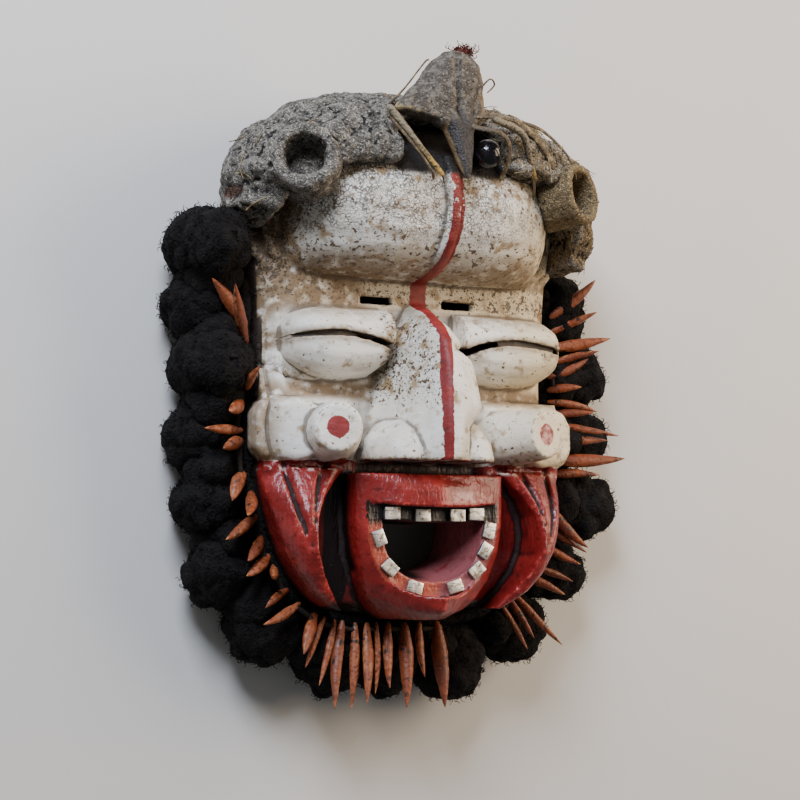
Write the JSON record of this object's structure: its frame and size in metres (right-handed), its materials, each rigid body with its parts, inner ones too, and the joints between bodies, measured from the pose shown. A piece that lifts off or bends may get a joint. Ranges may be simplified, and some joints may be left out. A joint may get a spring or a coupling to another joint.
{
  "type": "african mask",
  "caption": "Carved and painted wooden face mask, hollow behind, with slit eyes, toothed open mouth, crusted crown with a bird's head, wool tufts and wooden claws.",
  "frame": {"origin": "under the middle of the whole outline, on the level of the wooden rim that the mask lies on", "axes": "+Y up the face from chin to crown, +X to the viewer's right, +Z out of the face"},
  "size_m": [0.2948, 0.3702, 0.1239],
  "materials": {
    "painted_wood": "carved hardwood with chalky white paint, brown and black specks of dirt, gloss red on the jaw",
    "tin_plate": "cut thin tinned sheet, dulled and scratched",
    "clay_crust": "dry unfired clay and plant matter, coarse and granular, grey to tan",
    "horn": "bone and dried skin under a grey crust, beak sheath dark grey",
    "quill": "dull yellow dried quill",
    "dark_glass": "dark glossy round seed or bead",
    "wool": "black curled wool, matt",
    "claw_wood": "carved and oiled red-brown wood, worn at the edges"
  },
  "bodies": {
    "root": {"wooden_face": "painted_wood", "crown_crust": "clay_crust", "left_cup": "clay_crust", "right_cup": "clay_crust", "bird_head": "horn", "left_quill": "quill", "right_quill": "quill", "dark_bulb": "dark_glass", "wool_band": "wool", "tooth_01": "tin_plate", "tooth_02": "tin_plate", "tooth_03": "tin_plate", "tooth_04": "tin_plate", "tooth_05": "tin_plate", "tooth_06": "tin_plate", "tooth_07": "tin_plate", "tooth_08": "tin_plate", "tooth_09": "tin_plate", "tooth_10": "tin_plate", "tooth_11": "tin_plate", "claws_01": "claw_wood", "claws_02": "claw_wood", "claws_03": "claw_wood", "claws_04": "claw_wood", "claws_05": "claw_wood", "claws_06": "claw_wood", "claws_07": "claw_wood", "claws_08": "claw_wood", "claws_09": "claw_wood", "claws_10": "claw_wood", "claws_11": "claw_wood", "claws_12": "claw_wood", "claws_13": "claw_wood", "claws_14": "claw_wood", "claws_15": "claw_wood", "claws_16": "claw_wood", "claws_17": "claw_wood", "claws_18": "claw_wood", "claws_19": "claw_wood", "claws_20": "claw_wood", "claws_21": "claw_wood", "claws_22": "claw_wood", "claws_23": "claw_wood", "wool_tuft_01": "wool", "wool_tuft_02": "wool", "wool_tuft_03": "wool", "wool_tuft_04": "wool", "wool_tuft_05": "wool", "wool_tuft_06": "wool", "wool_tuft_07": "wool", "wool_tuft_08": "wool", "wool_tuft_09": "wool", "wool_tuft_10": "wool", "wool_tuft_11": "wool", "wool_tuft_12": "wool", "wool_tuft_13": "wool", "wool_tuft_14": "wool", "wool_tuft_15": "wool"}
  },
  "joints": []
}
